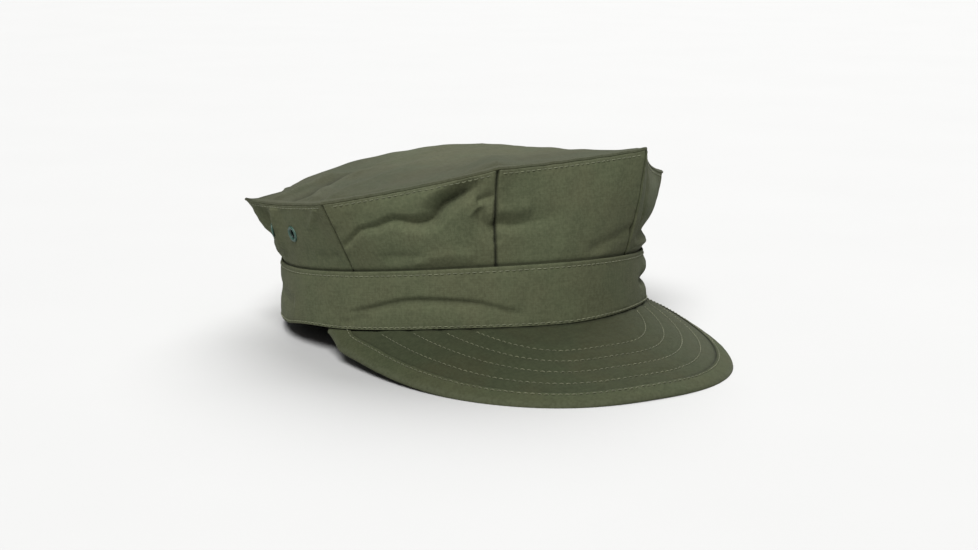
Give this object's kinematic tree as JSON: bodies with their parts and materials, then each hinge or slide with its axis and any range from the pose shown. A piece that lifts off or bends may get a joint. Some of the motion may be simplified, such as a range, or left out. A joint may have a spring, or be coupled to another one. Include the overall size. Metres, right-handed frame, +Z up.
{
  "type": "patrol cap",
  "caption": "Olive green cotton patrol cap with a faceted crown, a wide head band, a bound stitched visor and vent eyelets, resting on a surface.",
  "frame": {"origin": "on the surface that the cap rests on, under the middle of the cap's box", "axes": "+Z up from the surface; +Y from the visor's front edge towards the back of the head; +X towards the wearer's left"},
  "size_m": [0.1898, 0.2612, 0.0946],
  "materials": {
    "crown_cloth": "olive green plain-woven cotton, matt, softly creased",
    "band_cloth": "olive green plain-woven cotton over a soft stiffener, matt",
    "visor_cloth": "olive green cotton over a stiff board, with rows of stitching",
    "binding_cloth": "olive green cotton strip, cut aslant and folded round the visor's edge",
    "eyelet_enamel": "dark green enamelled metal, satin, rubbed along its rim"
  },
  "bodies": {
    "root": {"band": "band_cloth", "side_front": "crown_cloth", "side_front_right": "crown_cloth", "side_right": "crown_cloth", "side_back_right": "crown_cloth", "side_back": "crown_cloth", "side_back_left": "crown_cloth", "side_left": "crown_cloth", "side_front_left": "crown_cloth", "crown_top": "crown_cloth", "visor": "visor_cloth", "visor_binding": "binding_cloth", "eyelet_right_front": "eyelet_enamel", "eyelet_right_back": "eyelet_enamel", "eyelet_left_front": "eyelet_enamel", "eyelet_left_back": "eyelet_enamel"}
  },
  "joints": []
}
